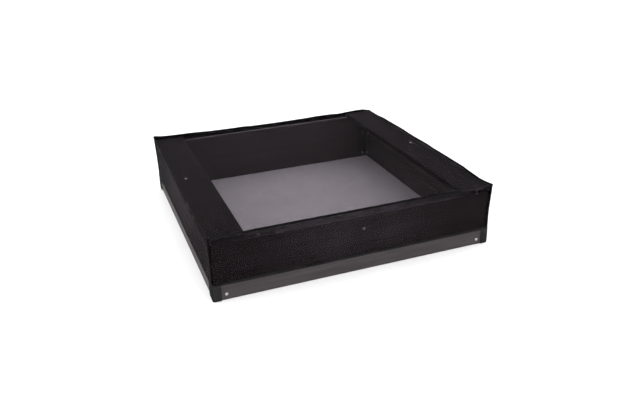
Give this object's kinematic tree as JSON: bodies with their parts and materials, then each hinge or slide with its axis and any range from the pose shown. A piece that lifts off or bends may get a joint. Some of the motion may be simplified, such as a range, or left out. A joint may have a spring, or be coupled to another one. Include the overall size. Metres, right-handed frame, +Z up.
{
  "type": "sandbox with cover",
  "caption": "Square low sandbox of stacked dark boards with seat boards on opposite sides and a fitted see-through mesh cover that lifts off.",
  "frame": {"origin": "on the ground, at the middle of the square footprint of the covered sandbox", "axes": "+Z up, X along the front wall, Y from the front wall to the back wall; the seat boards run along Y at -X and +X"},
  "size_m": [1.2108, 1.2108, 0.274],
  "materials": {
    "board_lower": "painted dark grey, satin, faint grain",
    "board_upper": "painted dark grey, satin, faint grain",
    "seat_board": "painted dark grey, satin, faint grain",
    "bracket_steel": "black powder coat",
    "fastener_steel": "zinc plated",
    "fastener_dark": "blackened",
    "mesh_fabric": "fine black see-through mesh",
    "seam_tape": "close woven black tape",
    "elastic": "braided elastic"
  },
  "bodies": {
    "frame": {"front_lower_board": "board_lower", "front_upper_board": "board_upper", "back_lower_board": "board_lower", "back_upper_board": "board_upper", "left_lower_board": "board_lower", "left_upper_board": "board_upper", "right_lower_board": "board_lower", "right_upper_board": "board_upper", "left_seat": "seat_board", "right_seat": "seat_board", "bracket_front_left": "bracket_steel", "bracket_front_right": "bracket_steel", "bracket_back_left": "bracket_steel", "bracket_back_right": "bracket_steel", "left_seat_bracket": "bracket_steel", "right_seat_bracket": "bracket_steel", "front_joining_plate": "bracket_steel", "corner_bolts": "fastener_steel", "corner_nuts": "fastener_steel", "bracket_screws": "fastener_steel", "seat_bolts": "fastener_steel", "seat_nuts": "fastener_steel", "seat_bracket_screws": "fastener_steel", "seat_end_screws": "fastener_dark", "plate_round_bolt": "fastener_steel", "plate_nut": "fastener_steel", "plate_screw": "fastener_steel"},
    "cover": {"cover_top_panel": "mesh_fabric", "cover_skirt_front": "mesh_fabric", "cover_skirt_back": "mesh_fabric", "cover_skirt_left": "mesh_fabric", "cover_skirt_right": "mesh_fabric", "cover_seam_front": "seam_tape", "cover_seam_back": "seam_tape", "cover_seam_left": "seam_tape", "cover_seam_right": "seam_tape", "cover_facing_front": "mesh_fabric", "cover_facing_back": "mesh_fabric", "cover_facing_left": "mesh_fabric", "cover_facing_right": "mesh_fabric", "cover_hem_front": "mesh_fabric", "cover_hem_back": "mesh_fabric", "cover_hem_left": "mesh_fabric", "cover_hem_right": "mesh_fabric", "cover_hem_elastic": "elastic", "corner_strap_front_left": "seam_tape", "corner_strap_front_right": "seam_tape", "corner_strap_back_left": "seam_tape", "corner_strap_back_right": "seam_tape"}
  },
  "joints": [
    {"name": "cover_lift", "type": "slide", "parent": "frame", "child": "cover", "axis": [0, 0, 1], "range_m": [0, 0.3]}
  ]
}
